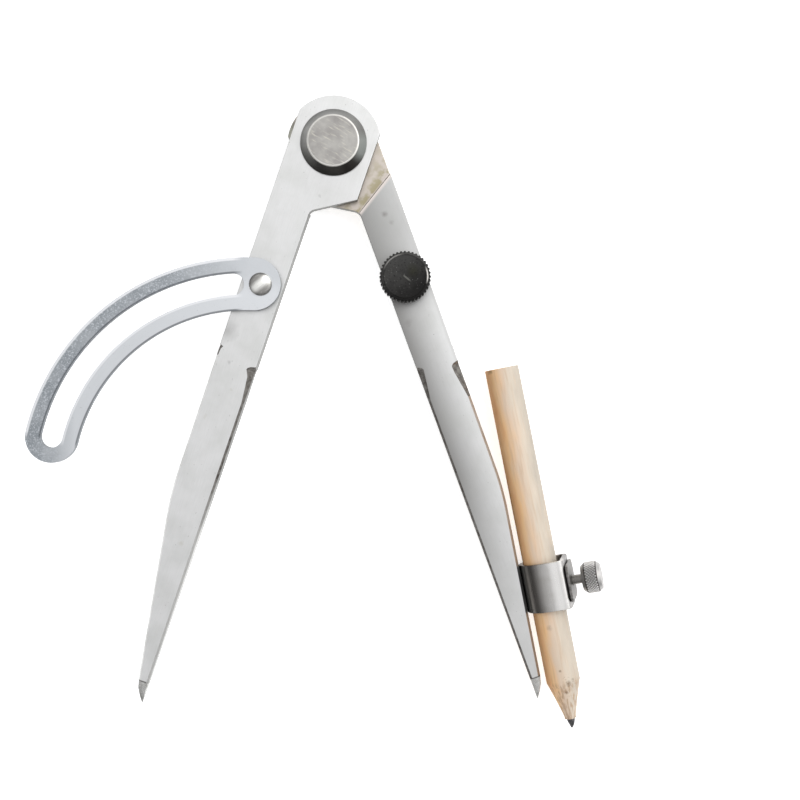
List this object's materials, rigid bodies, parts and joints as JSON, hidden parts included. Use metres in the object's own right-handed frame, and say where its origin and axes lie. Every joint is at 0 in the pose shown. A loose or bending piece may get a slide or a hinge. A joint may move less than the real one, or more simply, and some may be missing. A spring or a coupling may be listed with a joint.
{
  "type": "wing compass with pencil holder",
  "caption": "Flat steel drawing compass with a half-lap hinge, a slotted swinging wing, a knurled lock knob and a clamped pencil beside one point.",
  "frame": {"origin": "On the hinge axis, at the flat face of the hinge's back cap, on which the compass lies.", "axes": "+Z along the hinge axis, from the back cap to the headed side that faces up; +Y from the points towards the hinge along the middle line between the legs; +X towards the leg that carries the pencil."},
  "size_m": [0.1358, 0.1505, 0.0137],
  "materials": {
    "ground_steel": "satin ground steel, fine grinding marks, faint rust stains at the lap",
    "point_steel": "ground hardened steel",
    "cap_steel": "turned steel, scratched face",
    "spring_steel": "dull spring steel",
    "zinc_plate": "mottled bright zinc plating",
    "rivet_steel": "plain steel, lightly polished",
    "black_oxide": "black oxide on knurled steel",
    "screw_steel": "knurled and threaded steel",
    "stainless_strip": "smooth stainless strip",
    "pencil_wood": "bare natural wood",
    "graphite": "sharpened graphite"
  },
  "bodies": {
    "left_leg": {"left_leg": "ground_steel", "left_point": "point_steel", "pivot_pin": "cap_steel", "pivot_cap": "cap_steel", "pivot_washer": "spring_steel", "wing_washer": "rivet_steel", "wing_rivet": "rivet_steel"},
    "right_leg": {"right_leg": "ground_steel", "right_point": "point_steel", "clamp_ring": "stainless_strip", "clamp_nut": "stainless_strip"},
    "wing": {"wing": "zinc_plate"},
    "lock_washer": {"lock_washer": "screw_steel"},
    "lock_knob": {"lock_knob": "black_oxide", "lock_screw": "screw_steel"},
    "pencil": {"pencil_front_slat": "pencil_wood", "pencil_back_slat": "pencil_wood", "pencil_lead": "graphite"},
    "clamp_screw": {"clamp_screw": "screw_steel"},
    "clamp_knob": {"clamp_knob": "screw_steel"}
  },
  "joints": [
    {"name": "leg_hinge", "type": "hinge", "parent": "left_leg", "child": "right_leg", "pos_m": [0, 0, 0.00565], "axis": [0, 0, 1], "range_deg": [-39, 141]},
    {"name": "wing_swing", "type": "hinge", "parent": "left_leg", "child": "wing", "pos_m": [-0.01735, -0.03342, 0.0094], "axis": [0, 0, 1], "range_deg": [-105, 40]},
    {"name": "lock_turn", "type": "hinge", "parent": "lock_washer", "child": "lock_knob", "pos_m": [0.01654, -0.03233, 0.0125], "axis": [0, 0, 1], "range_deg": [0, 2160.1]},
    {"name": "lock_rise", "type": "slide", "parent": "right_leg", "child": "lock_washer", "axis": [0, 0, 1], "range_m": [0, 0.0042]},
    {"name": "pencil_slide", "type": "slide", "parent": "right_leg", "child": "pencil", "axis": [0.1841, -0.9829, 0], "range_m": [-0.015, 0.04]},
    {"name": "clamp_turn", "type": "hinge", "parent": "clamp_screw", "child": "clamp_knob", "pos_m": [0.0494, -0.10504, 0.00565], "axis": [0.9577, 0.1794, 0.225], "range_deg": [0, 1440.1]},
    {"name": "clamp_travel", "type": "slide", "parent": "right_leg", "child": "clamp_screw", "axis": [0.9577, 0.1794, 0.225], "range_m": [0, 0.0018]}
  ],
  "couplings": [
    {"joint": "lock_turn", "follows": "lock_rise", "rad_per_m": 8976},
    {"joint": "clamp_turn", "follows": "clamp_travel", "rad_per_m": 13963}
  ]
}
